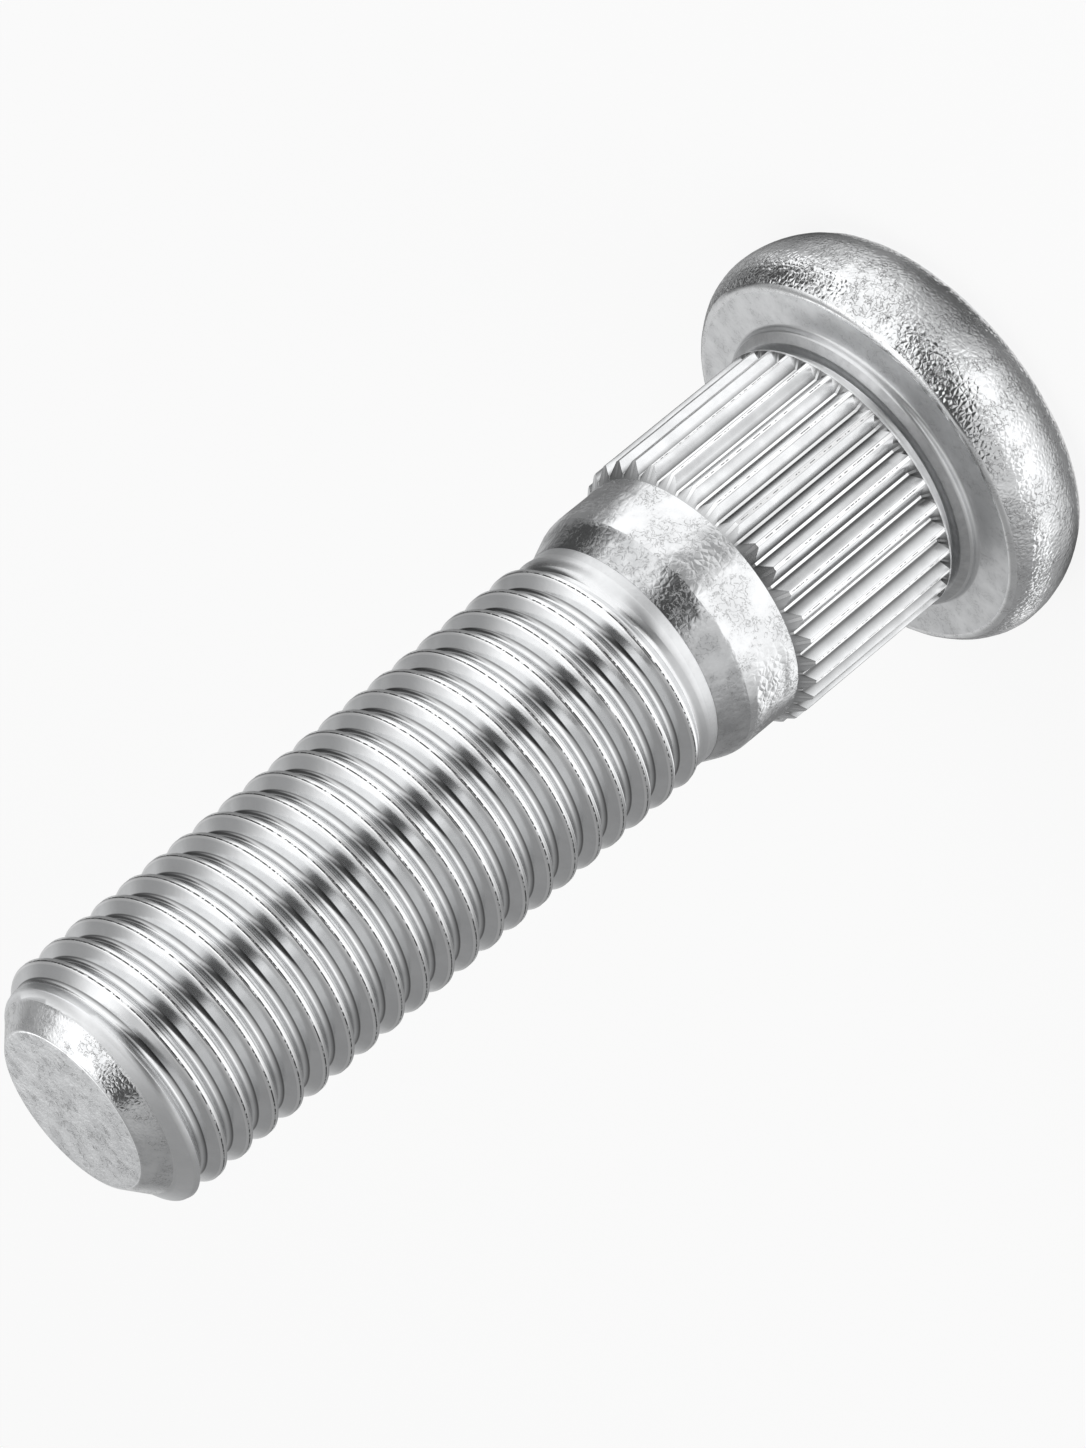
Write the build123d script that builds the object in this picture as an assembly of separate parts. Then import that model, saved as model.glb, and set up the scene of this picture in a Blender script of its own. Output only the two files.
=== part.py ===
from build123d import *
import math
import os

# Wheel stud: one forged and rolled piece, standing on its head.
# The origin is the centre of the head's bearing seat, and the tip is up along Z.

# Thread, M12 x 1.5, drawn as a plain shank of the thread's outside diameter
thread_diameter = 12.0
stud_length = 48.0
tip_cone_depth = 1.9
tip_cone_angle = 45.0

# Plain relief between the thread's run-out and the shoulder
relief_depth = 0.27
relief_length = 0.8

# Smooth shoulder that pilots the stud in the hub's hole, tapering down to the relief
shoulder_step = 0.375
shoulder_length = 4.35
shoulder_taper_length = 1.4
shoulder_taper_round = 2.0

# Straight triangular serrations that bite into the hole
knurl_length = 9.23
serration_count = 34
serration_height = 0.575
serration_root_gap = 0.155
crest_land = 0.2
root_land = 0.14
groove_run_out = 0.25
end_land = 0.12
knurl_lead_angle = 45.0

# Neck under the serrations and the raised collar on the seat
neck_gap = 0.62
neck_relief = 0.02
collar_stand_off = 0.4
collar_height = 0.65
collar_edge_chamfer = 0.45

# Head: flat seat, full round rim and flat back
seat_width = 2.0
seat_edge_round = 0.5
rim_overhang = 0.85
rim_crest_depth = 1.9
rim_back_depth = 2.85
rim_back_inset = 1.1
back_edge_round = 0.8

# Room that a cutting shape runs past the metal it removes
cut_clearance = 0.5

# Radii, from the thread outwards
thread_radius = thread_diameter / 2
tip_face_radius = thread_radius - tip_cone_depth
relief_radius = thread_radius - relief_depth
shoulder_radius = thread_radius + shoulder_step
serration_root_radius = shoulder_radius + serration_root_gap
knurl_radius = shoulder_radius + serration_height
neck_radius = shoulder_radius - neck_relief
collar_radius = knurl_radius + collar_stand_off
seat_radius = collar_radius + seat_width
head_radius = seat_radius + rim_overhang
back_radius = head_radius - rim_back_inset

# Heights, from the seat upwards
back_height = -(rim_crest_depth + rim_back_depth)
knurl_bottom = collar_height + neck_gap
knurl_top = knurl_bottom + knurl_length
knurl_lead_height = serration_height / math.tan(math.radians(knurl_lead_angle))
shoulder_top = knurl_top + shoulder_length
taper_bottom = shoulder_top - shoulder_taper_length
thread_bottom = shoulder_top + relief_length
tip_cone_height = tip_cone_depth / math.tan(math.radians(tip_cone_angle))


def corner(face, radius, height):
    """The corner of a half section nearest to a radius and a height."""
    return face.vertices().sort_by_distance((radius, height, 0))[0]


def half_section():
    """Half of the stud's lengthwise section, with X outwards and Y along the stud."""
    back = Line((0, back_height), (back_radius, back_height))
    rim_crest = (head_radius, -rim_crest_depth)
    rim_back = TangentArc(rim_crest, (back_radius, back_height), tangent=(0, -1))
    rim_front = TangentArc(rim_crest, (seat_radius, 0), tangent=(0, 1))
    shank = Polyline(
        (seat_radius, 0),
        (collar_radius, 0),
        (collar_radius, collar_height - collar_edge_chamfer),
        (collar_radius - collar_edge_chamfer, collar_height),
        (neck_radius, collar_height),
        (neck_radius, knurl_bottom),
        (knurl_radius, knurl_bottom),
        (knurl_radius, knurl_top - knurl_lead_height),
        (shoulder_radius, knurl_top),
        (shoulder_radius, taper_bottom),
        (relief_radius, shoulder_top),
        (relief_radius, thread_bottom),
        (thread_radius, thread_bottom + relief_depth),
        (thread_radius, stud_length - tip_cone_height),
        (tip_face_radius, stud_length),
        (0, stud_length),
    )
    axis_line = Line((0, stud_length), (0, back_height))
    face = make_face([back, rim_back, rim_front, *shank.edges(), axis_line])
    rounds = [
        (back_radius, back_height, back_edge_round),
        (seat_radius, 0, seat_edge_round),
        (shoulder_radius, taper_bottom, shoulder_taper_round),
    ]
    for radius, height, round_radius in rounds:
        face = fillet(corner(face, radius, height), round_radius)
    return face


def serration_groove():
    """One groove with a narrow flat root on the +X side, open at the shoulder and sloping out at the head's end."""
    half_mouth = knurl_radius * math.sin(math.pi / serration_count) - crest_land / 2
    half_root = root_land / 2
    groove_depth = knurl_radius - serration_root_radius
    reach = (groove_depth + cut_clearance) / groove_depth
    outer = knurl_radius + cut_clearance
    half_outer = half_root + (half_mouth - half_root) * reach
    section = Polyline(
        (serration_root_radius, half_root),
        (outer, half_outer),
        (outer, -half_outer),
        (serration_root_radius, -half_root),
        close=True,
    )
    prism = extrude(make_face(section), amount=knurl_top + cut_clearance)
    mouth_end = knurl_bottom + end_land
    root_end = mouth_end + groove_run_out
    side_view = Polyline(
        (serration_root_radius, root_end),
        (outer, root_end - groove_run_out * reach),
        (outer, knurl_top + cut_clearance),
        (serration_root_radius, knurl_top + cut_clearance),
        close=True,
    )
    lengthwise = extrude(Plane.XZ * make_face(side_view), amount=half_outer, both=True)
    return prism & lengthwise


def wheel_stud():
    """The turned form, with the serrations cut round it."""
    blank = revolve(Plane.XZ * half_section(), Axis.Z)
    groove = serration_groove()
    return blank - [place * groove for place in PolarLocations(0, serration_count)]


os.makedirs("parts", exist_ok=True)
export_step(wheel_stud(), "parts/wheel_stud.step")
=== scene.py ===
import math
import bpy
import numpy as np
from mathutils import Matrix


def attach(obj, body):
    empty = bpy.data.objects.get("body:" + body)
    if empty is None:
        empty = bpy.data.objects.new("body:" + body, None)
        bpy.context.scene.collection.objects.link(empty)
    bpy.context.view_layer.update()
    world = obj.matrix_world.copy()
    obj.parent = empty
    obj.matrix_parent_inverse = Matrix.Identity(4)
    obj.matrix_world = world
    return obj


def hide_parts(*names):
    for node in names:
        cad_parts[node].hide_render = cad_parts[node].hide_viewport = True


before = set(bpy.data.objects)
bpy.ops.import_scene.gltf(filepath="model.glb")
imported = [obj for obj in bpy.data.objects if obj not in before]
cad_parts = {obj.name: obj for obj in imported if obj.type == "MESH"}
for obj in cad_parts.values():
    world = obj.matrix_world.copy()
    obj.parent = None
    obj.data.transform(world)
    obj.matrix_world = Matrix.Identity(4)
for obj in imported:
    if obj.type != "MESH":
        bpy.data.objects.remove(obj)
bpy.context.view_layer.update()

mm = 0.001  # lengths below are millimetres from the head's seat, +Z to the tip


# Half section helpers: rows of (radius, height) from the head's back towards the tip

def lineRows(start, end, count, whole=False):
    # even steps along the straight line from start to end, without the start unless it is whole
    steps = np.linspace(0.0, 1.0, count + 1)[0 if whole else 1:, None]
    return np.array(start) + (np.array(end) - np.array(start)) * steps


def arcRows(centre, radius, startAngle, endAngle, count):
    # centre plus radius times cosine and sine of even steps of angle, without the start
    turn = np.radians(np.linspace(startAngle, endAngle, count + 1)[1:])
    return np.array(centre) + radius * np.stack([np.cos(turn), np.sin(turn)], axis=1)


def revolved(rows, angles):
    # each row is a circle about Z: radius times cosine and sine of the angles, at its height
    radius, height = rows[:, :1], rows[:, 1:]
    x = radius * np.cos(angles)
    y = radius * np.sin(angles)
    return np.stack([x, y, np.broadcast_to(height, x.shape)], axis=2)


def dentField(points, seed, shortest, longest, waves):
    # sum of plane waves in seeded directions, wavelengths between shortest and longest, scaled to 0..1
    rng = np.random.default_rng(seed)
    heading = rng.normal(size=(3, waves))
    heading /= np.linalg.norm(heading, axis=0)
    number = 2 * np.pi / rng.uniform(shortest, longest, waves)
    phase = rng.uniform(0, 2 * np.pi, waves)
    total = np.cos(points @ (heading * number) + phase).sum(axis=-1)
    swing = 2.6 * math.sqrt(waves)      # about the widest range of the sum
    return np.clip(0.5 + total / swing, 0.0, 1.0)


def outwardNormals(points):
    # cross product of the step round the ring and the step to the next row
    around = np.roll(points, -1, axis=1) - np.roll(points, 1, axis=1)
    along = np.gradient(points, axis=0)
    normal = np.cross(around, along)
    return normal / np.maximum(np.linalg.norm(normal, axis=2, keepdims=True), 1e-9)


def gridFaces(rows, columns):
    # two triangles for each cell between neighbouring rings, the last column joined to the first
    i, j = np.meshgrid(np.arange(rows - 1), np.arange(columns), indexing="ij")
    a = i * columns + j
    b = i * columns + (j + 1) % columns
    c = b + columns
    d = a + columns
    return np.concatenate([np.stack([a, b, c], -1), np.stack([a, c, d], -1)]).reshape(-1, 3)


def zipFaces(lowAngles, highAngles):
    # strip between two rings of different counts, the low one's points first: each edge is joined to the
    # nearest vertex of the other ring
    low, high = len(lowAngles), len(highAngles)
    step = 2 * np.pi / high
    middle = (lowAngles + np.append(lowAngles[1:], lowAngles[0] + 2 * np.pi)) / 2
    near = np.round((middle - highAngles[0]) / step).astype(int)
    i = np.arange(low)
    lower = np.stack([i, (i + 1) % low, low + near % high], -1)
    j = np.arange(near[0], near[0] + high)
    back = np.searchsorted(near, j + 1, side="left") % low
    upper = np.stack([low + j % high, back, low + (j + 1) % high], -1)
    return np.concatenate([lower, upper])


# Serrated press length

serrations = {
    "count": 34,
    "rootRadius": 6.53,
    "crestRadius": 6.95,
    "halfMouth": 0.5413,     # half width of a groove at the crest circle
    "halfRoot": 0.07,        # half width of the flat root
    "rootHold": 0.75,        # share of the root that shades flat
    "flankShares": [0.0, 0.14, 0.38, 0.93],         # points up a flank, from the root
    "crestShares": [-0.98, -0.6, 0.0, 0.6, 0.98],   # points across a crest
    "crestHollow": 0.012,    # shallow groove rolled along the crest
    "hollowShares": [0.25, 0.0, 1.0, 0.0, 0.25],
    # painted light from the root up to the crest: painted shade in the root corners is positive, painted
    # highlight on root lands and crests is negative; the left flank carries more painted shade
    "rightPaintedLight": [-1.0, -1.0, 0.9, 0.5, 0.0, 0.0, 0.3, -1.0],
    "crestPaintedLight": -1.0,
    "leftPaintedLight": [-1.0, 1.0, 1.0, 0.6, 0.0, 0.3, -1.0],
    "landShade": 0.8,        # painted shade where the run-out meets the land
    "footShade": 0.45,       # painted shade where the lead meets the shoulder
    "bottom": 1.27,
    "endLand": 0.12,
    "runOut": 0.25,
    "top": 10.5,
    "rows": 13,
    "waver": 0.012,
    "waverBand": 0.02,       # what lies this close to the crest circle wavers
    "waverNumbers": (1.3, 5.3),     # radians for each millimetre
    "seed": 11,
}


def serrationRing():
    # half a groove: flat root, then a straight flank, root + share * (mouth - root), up to the crest circle;
    # the crest has a hollow middle, and the other half is the mirror image, repeated round the stud
    s = serrations
    share = np.array(s["flankShares"])
    flankX = s["rootRadius"] + share * (s["crestRadius"] - s["rootRadius"])
    flankY = s["halfRoot"] + share * (s["halfMouth"] - s["halfRoot"])
    x = np.concatenate([[s["rootRadius"], s["rootRadius"]], flankX])
    y = np.concatenate([[0.0, s["rootHold"] * s["halfRoot"]], flankY])
    half = np.pi / s["count"]
    edge = half - math.atan2(s["halfMouth"], s["crestRadius"])
    crestAngle = half + edge * np.array(s["crestShares"])
    crestRadius = s["crestRadius"] - s["crestHollow"] * np.array(s["hollowShares"])
    wallAngle, wallRadius = np.arctan2(y, x), np.hypot(x, y)
    oneAngle = np.concatenate([wallAngle, crestAngle, 2 * half - wallAngle[:0:-1]])
    oneRadius = np.concatenate([wallRadius, crestRadius, wallRadius[:0:-1]])
    # painted light for each point: painted shade in the root corners and up the left flank, painted highlight
    # on the root lands and crests
    onePaintedLight = np.concatenate([s["rightPaintedLight"], [s["crestPaintedLight"]], s["leftPaintedLight"][::-1]])
    turn = np.arange(s["count"])[:, None] * 2 * half
    angles = (turn + oneAngle).ravel()
    return angles, np.tile(oneRadius, s["count"]), np.tile(onePaintedLight, s["count"]), len(oneAngle)


ringAngles, ringRadii, ringPaintedLight, ringStep = serrationRing()


def serrationSurface(shoulderRadius):
    # straight columns from the slanting run-out to the 45 degree lead, each from slope to slope;
    # crests waver by the mean of three seeded cosines of the height
    s = serrations
    depth = s["crestRadius"] - s["rootRadius"]
    low = s["bottom"] + s["endLand"] + (s["crestRadius"] - ringRadii) / depth * s["runOut"]
    high = s["top"] - (ringRadii - shoulderRadius)
    t = np.linspace(0.0, 1.0, s["rows"])[:, None]
    height = low + (high - low) * t
    rng = np.random.default_rng(s["seed"])
    wave = rng.uniform(*s["waverNumbers"], (3, 1, s["count"]))
    phase = rng.uniform(0, 2 * np.pi, (3, 1, s["count"]))
    waver = np.cos(wave * height[None, :, ::ringStep] + phase).mean(axis=0)
    waver = np.repeat(waver, ringStep, axis=1)
    onCrest = ringRadii > s["crestRadius"] - s["waverBand"]
    radius = ringRadii - onCrest * s["waver"] * (0.5 + 0.5 * waver)
    x = radius * np.cos(ringAngles)
    y = radius * np.sin(ringAngles)
    return np.stack([x, y, height], axis=2)


# Head, with its seat, collar and neck

head = {
    "back": -4.75,
    "poleRadius": 0.6,       # ring round the middle of the back
    "backRows": 2,
    "radius": 10.2,
    "crestHeight": -1.9,
    "rimRows": 10,           # rows on each side of the rim's crest
    "seatCorner": 9.35,
    "backCorner": 9.1,
    "seatRound": 0.5,
    "seatRoundRows": 5,
    "backRound": 0.8,
    "backRoundRows": 4,
    "seatRows": 3,
    "collarRadius": 7.35,
    "collarHeight": 0.65,
    "collarChamfer": 0.45,
    "collarFoot": 0.15,
    "collarFootRows": 3,
    "collarRise": 0.02,
    "collarEdge": 0.2,
    "collarEdgeTurn": 60,    # degrees of the round at the collar's edge
    "collarEdgeRows": 4,
    "edgeEase": 0.02,        # how far a flat stops short of a sharp corner
    "neckRadius": 6.355,
    "neckFoot": 0.08,
    "neckRows": 2,           # rows on the slope, the top, the neck's foot and its wall
    "rimDent": 0.02,
    "rimDentShort": 0.5,
    "rimDentLong": 1.6,
    "rimDentWaves": 60,
    "rimDentSeed": 3,
}


def rimSide(cornerRadius, cornerHeight, roundRadius):
    # arc from the rim's crest to a corner, with radius (inset^2 + reach^2) / (2 * inset) and its centre level
    # with the crest; the corner's round has its centre its radius in from the arc and from the flat
    inset = head["radius"] - cornerRadius
    reach = cornerHeight - head["crestHeight"]
    arc = (inset ** 2 + reach ** 2) / (2 * inset)
    centre = (head["radius"] - arc, head["crestHeight"])
    roundHeight = cornerHeight - math.copysign(roundRadius, reach)
    rise = roundHeight - centre[1]
    roundX = centre[0] + math.sqrt((arc - roundRadius) ** 2 - rise ** 2)
    meet = math.degrees(math.atan2(rise, roundX - centre[0]))
    return centre, arc, (roundX, roundHeight), meet


def rimRows():
    # flat back, two arcs that meet upright at the rim's crest, and rounds into the flat back and seat
    h = head
    backCentre, backArc, backRound, backMeet = rimSide(h["backCorner"], h["back"], h["backRound"])
    seatCentre, seatArc, seatRound, seatMeet = rimSide(h["seatCorner"], 0.0, h["seatRound"])
    back = lineRows((h["poleRadius"], h["back"]), (backRound[0], h["back"]), h["backRows"], whole=True)
    rim = np.concatenate([
        back[-1:],
        arcRows(backRound, h["backRound"], -90, backMeet, h["backRoundRows"]),
        arcRows(backCentre, backArc, backMeet, 0, h["rimRows"]),
        arcRows(seatCentre, seatArc, 0, seatMeet, h["rimRows"]),
        arcRows(seatRound, h["seatRound"], seatMeet, 90, h["seatRoundRows"]),
    ])
    return back, rim


def seatRows(rimEnd):
    # flat ring from the rim's round to the collar's foot
    footStart = (head["collarRadius"] + head["collarFoot"], 0.0)
    return lineRows(rimEnd, footStart, head["seatRows"], whole=True)


def collarRows():
    # collar: hollow foot, wall and bend; slope: up to the flat top; neck: small foot, wall, the step out
    # to the crest circle and the land that the grooves run out into
    h, s = head, serrations
    foot, ease, rows = h["collarFoot"], h["edgeEase"], h["neckRows"]
    wallTop = h["collarHeight"] - h["collarChamfer"]
    topEdge = h["collarRadius"] - h["collarChamfer"]
    footCentre = (h["collarRadius"] + foot, foot)
    bendCentre = (h["collarRadius"] - h["collarEdge"], wallTop + h["collarRise"])
    slopeEnd = (topEdge + ease, h["collarHeight"] - ease)
    topOuter = (topEdge - ease, h["collarHeight"])
    topInner = (h["neckRadius"] + h["neckFoot"], h["collarHeight"])
    neckStart = (h["neckRadius"], h["collarHeight"] + h["neckFoot"])
    neckEnd = (h["neckRadius"], s["bottom"])
    landStart = (s["crestRadius"], s["bottom"])
    landEnd = (s["crestRadius"], s["bottom"] + s["endLand"] - ease)
    collar = np.concatenate([
        [[h["collarRadius"] + foot, 0.0]],
        arcRows(footCentre, foot, 270, 180, h["collarFootRows"]),
        [[h["collarRadius"], bendCentre[1]]],
        arcRows(bendCentre, h["collarEdge"], 0, h["collarEdgeTurn"], h["collarEdgeRows"]),
    ])
    slope = np.concatenate([
        collar[-1:],
        lineRows(collar[-1], slopeEnd, rows),
        [topOuter],
        lineRows(topOuter, topInner, rows),
    ])
    neck = np.concatenate([
        slope[-1:],
        arcRows((topInner[0], neckStart[1]), h["neckFoot"], 270, 180, rows),
        lineRows(neckStart, neckEnd, rows),
        [landStart, landEnd],
    ])
    return collar, slope, neck


# Shoulder, from the serrations' lead to the step down to the relief

shoulder = {
    "radius": 6.375,
    "leadRows": 3,           # rows between the serrations and the turned line
    "lineHeight": 11.05,     # faint turned line next to the serrations
    "lineWidth": 0.05,
    "lineStep": 0.012,
    "stepFade": 2.0,         # length over which the step at the line fades out again
    "rows": 12,
    "taperStart": 13.45,
    "taperRound": 2.0,
    "roundRows": 4,
    "taperRows": 7,
    "top": 14.85,
    "reliefRadius": 5.73,
    "coneEnd": (0.04, -0.02),       # where the cone and its small foot end, from the relief's corner
    "coneFoot": (0.01, 0.04),
    "reliefRise": 0.02,
    "dent": 0.012,
    "dentShort": 0.4,
    "dentLong": 1.2,
    "dentWaves": 60,
    "dentSeed": 8,
}


def shoulderRows():
    # straight wall with a tiny step down at the turned line, a large round and the cone down to the relief
    h = shoulder
    slope = math.atan2(h["radius"] - h["reliefRadius"], h["top"] - h["taperStart"])
    reach = h["taperRound"] * math.tan(slope / 2)
    wallEnd = h["taperStart"] - reach
    line = h["lineHeight"]
    roundCentre = (h["radius"] - h["taperRound"], wallEnd)
    bend = arcRows(roundCentre, h["taperRound"], 0, math.degrees(slope), h["roundRows"])
    reliefCorner = np.array([h["reliefRadius"], h["top"]])
    rows = np.concatenate([
        lineRows((h["radius"], serrations["top"]), (h["radius"], line), h["leadRows"], whole=True),
        lineRows((h["radius"], line + h["lineWidth"]), (h["radius"], wallEnd), h["rows"]),
        bend,
        lineRows(bend[-1], reliefCorner + h["coneEnd"], h["taperRows"]),
        [reliefCorner + h["coneFoot"]],
    ])
    pastLine = rows[1 + h["leadRows"]:]
    pastLine[:, 0] -= h["lineStep"] * np.clip((h["top"] - pastLine[:, 1]) / h["stepFade"], 0, 1)
    return rows


# Rolled thread, M12 x 1.5 right hand, with its run-out and its first turns at the tip

thread = {
    "pitch": 1.5,
    "crestRadius": 6.0,
    "crestHalf": 0.1,
    "crestHollow": 0.006,   # seam that rolling leaves along the crest
    "crestRound": 0.025,
    "flank": 52.5,          # degrees from the axis
    "depth": 0.63,
    "rootRound": 0.2,       # hollow at each edge of the flat root
    "flankHold": [0.07, 0.93],      # rows that keep the flank's shading straight
    "columns": 128,
    "bottom": 15.35,
    "fade": 1.3,            # length over which the run-out grows to full form
    "top": 47.05,
    "tipRadius": 5.05,      # where the tip's cone ends the thread
    "tipFade": 0.3,
    "start": 0.4,           # turns that the helix is moved on
    "footRise": 0.9,        # painted shade at the flank's foot where the run-out has grown to this share
    "footEnd": 0.8,         # and up to this far from the thread's top
    "spareTurns": 2,        # turns past both ends, which the clipping flattens away
    "reliefRows": 6,
}


def threadProfile():
    # half a pitch from the crest's edge: a small bevel, a straight flank, a hollow and half of the flat root;
    # bevel and hollow are edge + radius * (sin, cos) of the tilt, and the other half is the mirror image
    t = thread
    flank = math.radians(t["flank"])
    half = t["pitch"] / 2
    rootRadius = t["crestRadius"] - t["depth"]
    tilt = np.array([0.0, flank])
    edgeU = t["crestHalf"] + t["crestRound"] * np.sin(tilt)
    edgeR = t["crestRadius"] - t["crestRound"] * (1 - np.cos(tilt))
    hollowR = rootRadius + t["rootRound"] * (1 - np.cos(tilt[::-1]))
    footU = edgeU[-1] + (edgeR[-1] - hollowR[0]) / math.tan(flank)
    hollowU = footU + t["rootRound"] * (math.sin(flank) - np.sin(tilt[::-1]))
    hold = np.array(t["flankHold"])
    sideU = np.concatenate([edgeU, edgeU[-1] + (hollowU[0] - edgeU[-1]) * hold, hollowU])
    sideR = np.concatenate([edgeR, edgeR[-1] + (hollowR[0] - edgeR[-1]) * hold, hollowR])
    u = np.concatenate([-sideU[::-1], [0.0], sideU, [half]])
    r = np.concatenate([sideR[::-1], [t["crestRadius"] - t["crestHollow"]], sideR, [rootRadius]])
    return u, r, rootRadius


def threadSurface():
    # profile carried up a helix: height is pitch * (turn + angle / full turn) plus the place in the profile,
    # held between both ends; the radius is read from the profile at that height, fades into the relief
    # below by a smooth step and into the tip above by an exponential
    t = thread
    u, r, rootRadius = threadProfile()
    angles = np.arange(t["columns"]) * 2 * np.pi / t["columns"]
    first = math.floor(t["bottom"] / t["pitch"]) - t["spareTurns"]
    last = math.ceil(t["top"] / t["pitch"]) + t["spareTurns"]
    turns = np.arange(first, last)
    rowHeight = (turns[:, None] * t["pitch"] + u).ravel()
    height = rowHeight[:, None] + t["pitch"] * (angles / (2 * np.pi) + t["start"])
    inside = np.clip(height, t["bottom"], t["top"])
    place = (inside / t["pitch"] - angles / (2 * np.pi) - t["start"] + 0.5) % 1.0 - 0.5
    lap = 3     # points of the next turn on each side, so that the reading has no gap
    lapU = np.concatenate([u[-lap:] - t["pitch"], u, u[:lap] + t["pitch"]])
    lapR = np.concatenate([r[-lap:], r, r[:lap]])
    radius = np.interp(place * t["pitch"], lapU, lapR)
    toTip = t["top"] - inside
    crestLoss = (t["crestRadius"] - t["tipRadius"]) * np.exp(-toTip / t["tipFade"])
    rootLoss = (rootRadius - t["tipRadius"]) * np.exp(-toTip / t["tipFade"])
    share = (radius - rootRadius) / (t["crestRadius"] - rootRadius)
    radius = radius - rootLoss - (crestLoss - rootLoss) * share
    rise = np.clip((inside - t["bottom"]) / t["fade"], 0.0, 1.0)
    rise = rise * rise * (3 - 2 * rise)
    radius = shoulder["reliefRadius"] + (radius - shoulder["reliefRadius"]) * rise
    points = np.stack([radius * np.cos(angles), radius * np.sin(angles), inside], axis=2)
    rows, columns = height.shape
    i, j = np.meshgrid(np.arange(rows - 1), np.arange(columns), indexing="ij")
    wrap = (j == columns - 1) * len(u)  # one turn on, the helix is one pitch higher
    a = i * columns + j
    b = (i + wrap) * columns + (j + 1) % columns
    keep = i + wrap < rows - 1
    c = b + columns
    d = a + columns
    faces = np.concatenate([np.stack([a, b, c], -1)[keep], np.stack([a, c, d], -1)[keep]])
    # painted shade at the foot of each flank, where the hollow starts, only where the thread has full form
    flankFoot = len(u) - 3
    paintedLight = np.tile(np.where(np.arange(len(u)) == flankFoot, 1.0, 0.0), len(turns))
    fullForm = (rise > t["footRise"]) & (toTip > t["footEnd"])
    return points, faces, angles, np.where(fullForm, paintedLight[:, None], 0.0)


# Tip: a 45 degree cone down to the sheared end face

tip = {
    "faceRadius": 4.1,
    "length": 48.0,
    "coneAngle": 45,
    "coneRows": 8,
    "edgeRound": 0.16,
    "edgeRows": 3,
    "faceRows": 14,
    "poleRadius": 0.25,      # ring round the middle of the face
}


def tipRows():
    # cone from the thread's end, a small round, and the flat face in to its middle
    h = tip
    slope = math.radians(h["coneAngle"])
    reach = h["edgeRound"] * math.tan(slope / 2)
    coneStart = (thread["tipRadius"], thread["top"])
    coneEnd = (h["faceRadius"] + reach * math.cos(slope), h["length"] - reach * math.sin(slope))
    roundCentre = (h["faceRadius"] - reach, h["length"] - h["edgeRound"])
    cone = np.concatenate([
        lineRows(coneStart, coneEnd, h["coneRows"], whole=True),
        arcRows(roundCentre, h["edgeRound"], h["coneAngle"], 90, h["edgeRows"]),
    ])
    return cone, lineRows(cone[-1], (h["poleRadius"], h["length"]), h["faceRows"], whole=True)


# The mesh: sections are joined where their rings meet

finishNames = [
    "crinkledRim", "satinThread", "serratedZinc", "matteSeat", "shearedEnd", "stippledShoulder",
    "collarZinc", "shadedNeck", "speckledCone", "dulledTaper", "wornEdge",
]
mergeStep = 2e-4    # points that round to the same multiples of this become one
sharpAngle = 38     # degrees from which an edge shades as a sharp one


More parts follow.
